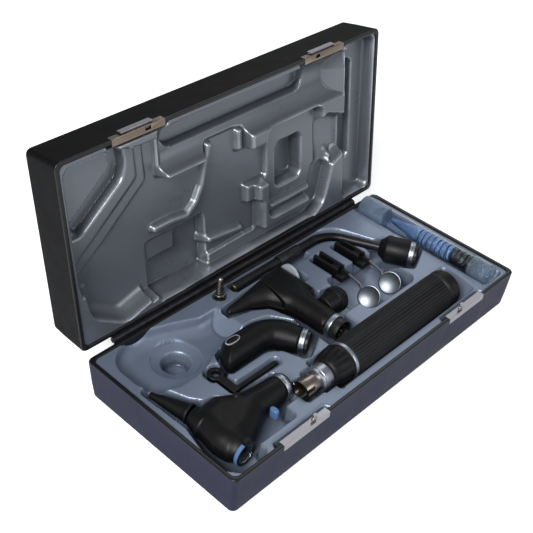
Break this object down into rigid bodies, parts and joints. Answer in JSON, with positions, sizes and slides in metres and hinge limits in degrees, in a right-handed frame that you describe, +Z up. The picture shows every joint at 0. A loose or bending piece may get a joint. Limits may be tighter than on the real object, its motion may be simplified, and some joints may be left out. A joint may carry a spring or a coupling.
{
  "type": "otoscope carry case",
  "caption": "Hinged hard case with formed trays that hold a battery handle, an otoscope head, a nasal speculum head, throat lights, mirrors, specula and a spare lamp.",
  "frame": {"origin": "middle of the base's underside, on the surface it stands on", "axes": "+X along the hinge to the viewer's right, +Y from the latches to the hinge, +Z up"},
  "size_m": [0.32, 0.2039, 0.1855],
  "materials": {
    "shell": "fine leatherette",
    "base_tray": "satin formed sheet",
    "lid_tray": "satin formed sheet",
    "hinge_black": "black",
    "nickel": "bright nickel",
    "steel": "satin steel",
    "brass": "polished contact",
    "black_plastic": "matte black",
    "black_metal": "matte black",
    "blue_plastic": "light blue",
    "clear_plastic": "clear",
    "lens_glass": "clear lens",
    "mirror": "polished",
    "cell": "bare printed-free jacket"
  },
  "bodies": {
    "base": {"base_shell": "shell", "base_tray": "base_tray", "base_hinge_leaf": "hinge_black", "hinge_pin": "steel", "base_rivets": "hinge_black", "catch_plate_left": "nickel", "catch_plate_right": "nickel"},
    "lid": {"lid_shell": "shell", "lid_tray": "lid_tray", "lid_hinge_leaf": "hinge_black", "lid_rivets": "hinge_black", "latch_plate_left": "nickel", "latch_plate_right": "nickel"},
    "latch_left": {"latch_slide_left": "nickel"},
    "latch_right": {"latch_slide_right": "nickel"},
    "handle": {"handle_grip": "black_metal", "handle_trim_ring": "steel", "handle_ring": "steel", "handle_bayonet": "steel", "handle_contact_pin": "brass", "battery_cells": "cell", "battery_spring": "steel"},
    "handle_switch": {"handle_collar": "black_plastic"},
    "handle_end": {"handle_cap": "black_plastic"},
    "otoscope": {"otoscope_body": "black_metal", "otoscope_ring": "steel", "otoscope_socket": "black_plastic"},
    "speculum": {"ear_speculum": "black_plastic"},
    "otoscope_swivel": {"otoscope_lens_frame": "blue_plastic", "otoscope_lens": "lens_glass"},
    "ejector": {"otoscope_lever": "blue_plastic"},
    "nasal": {"nasal_body": "black_metal", "nasal_ring": "steel", "nasal_socket": "black_plastic", "nasal_lens": "lens_glass"},
    "nasal_wheel": {"nasal_knob": "black_plastic"},
    "nasal_upper": {"nasal_blade": "black_plastic"},
    "tongue_light": {"tongue_light_body": "black_metal", "tongue_light_tab": "black_plastic", "tongue_light_ring": "steel", "tongue_light_socket": "black_plastic"},
    "arm_light": {"arm_light_tube": "black_metal", "arm_light_sleeve": "black_metal", "arm_light_holder": "black_plastic", "arm_light_ring": "steel", "arm_light_socket": "black_plastic"},
    "mirror_one": {"mirror_clip_left": "black_plastic", "mirror_left": "mirror"},
    "mirror_two": {"mirror_clip_right": "black_plastic", "mirror_right": "mirror"},
    "lamp": {"lamp_base": "steel", "lamp_glass": "lens_glass"},
    "tube": {"tube_barrel": "clear_plastic", "blue_specula": "blue_plastic", "black_specula": "black_plastic"},
    "cap_front": {"tube_cap_front": "clear_plastic"},
    "cap_back": {"tube_cap_back": "clear_plastic"},
    "key": {"bulb_key": "black_plastic"}
  },
  "joints": [
    {"name": "lid_hinge", "type": "hinge", "parent": "base", "child": "lid", "pos_m": [0, 0.0766, 0.03485], "axis": [-1, 0, 0], "range_deg": [-96.74, 0]},
    {"name": "latch_left_slide", "type": "slide", "parent": "lid", "child": "latch_left", "axis": [-1, 0, 0], "range_m": [0, 0.003], "stiffness_N_per_m": 300},
    {"name": "latch_right_slide", "type": "slide", "parent": "lid", "child": "latch_right", "axis": [1, 0, 0], "range_m": [0, 0.003], "stiffness_N_per_m": 300},
    {"name": "handle_lift", "type": "slide", "parent": "base", "child": "handle", "axis": [0, 0, 1], "range_m": [0, 0.06]},
    {"name": "otoscope_lift", "type": "slide", "parent": "base", "child": "otoscope", "axis": [0, 0, 1], "range_m": [0, 0.06]},
    {"name": "nasal_lift", "type": "slide", "parent": "base", "child": "nasal", "axis": [0, 0, 1], "range_m": [0, 0.06]},
    {"name": "tongue_light_lift", "type": "slide", "parent": "base", "child": "tongue_light", "axis": [0, 0, 1], "range_m": [0, 0.06]},
    {"name": "arm_light_lift", "type": "slide", "parent": "base", "child": "arm_light", "axis": [0, 0, 1], "range_m": [0, 0.06]},
    {"name": "mirror_one_lift", "type": "slide", "parent": "base", "child": "mirror_one", "axis": [0, 0, 1], "range_m": [0, 0.05]},
    {"name": "mirror_two_lift", "type": "slide", "parent": "base", "child": "mirror_two", "axis": [0, 0, 1], "range_m": [0, 0.05]},
    {"name": "lamp_lift", "type": "slide", "parent": "base", "child": "lamp", "axis": [0, 0, 1], "range_m": [0, 0.05]},
    {"name": "tube_lift", "type": "slide", "parent": "base", "child": "tube", "axis": [0, 0, 1], "range_m": [0, 0.05]},
    {"name": "key_lift", "type": "slide", "parent": "base", "child": "key", "axis": [0, 0, 1], "range_m": [0, 0.04]},
    {"name": "handle_switch_turn", "type": "hinge", "parent": "handle", "child": "handle_switch", "pos_m": [-0.04, -0.047, 0.0337], "axis": [1, 0, 0], "range_deg": [0, 60]},
    {"name": "handle_cap_turn", "type": "hinge", "parent": "handle", "child": "handle_end", "pos_m": [0.095, -0.047, 0.0337], "axis": [1, 0, 0], "range_deg": [0, 360]},
    {"name": "speculum_turn", "type": "hinge", "parent": "otoscope", "child": "speculum", "pos_m": [-0.139, -0.013, 0.0327], "axis": [-0.2494, 0.9684, 0], "range_deg": [0, 90]},
    {"name": "otoscope_lens_swivel", "type": "hinge", "parent": "otoscope", "child": "otoscope_swivel", "pos_m": [-0.13633, -0.0605, 0.0419], "axis": [-0.0561, 0.9984, 0], "range_deg": [0, 170]},
    {"name": "ejector_slide", "type": "slide", "parent": "otoscope", "child": "ejector", "axis": [-1, 0, 0], "range_m": [0, 0.0015], "stiffness_N_per_m": 300},
    {"name": "nasal_wheel_turn", "type": "hinge", "parent": "nasal", "child": "nasal_wheel", "pos_m": [0.02, 0.0015, 0.0327], "axis": [1, 0, 0], "range_deg": [0, 180]},
    {"name": "nasal_blade_pivot", "type": "hinge", "parent": "nasal", "child": "nasal_upper", "pos_m": [-0.0146, 0.0444, 0.0397], "axis": [0, 1, 0], "range_deg": [0, 12]},
    {"name": "cap_front_turn", "type": "hinge", "parent": "tube", "child": "cap_front", "pos_m": [0.138, -0.06, 0.0352], "axis": [0, 1, 0], "range_deg": [0, 360]},
    {"name": "cap_back_turn", "type": "hinge", "parent": "tube", "child": "cap_back", "pos_m": [0.138, 0.06, 0.0352], "axis": [0, 1, 0], "range_deg": [0, 360]}
  ],
  "couplings": [
    {"joint": "nasal_blade_pivot", "follows": "nasal_wheel_turn", "ratio": 0.066667}
  ]
}
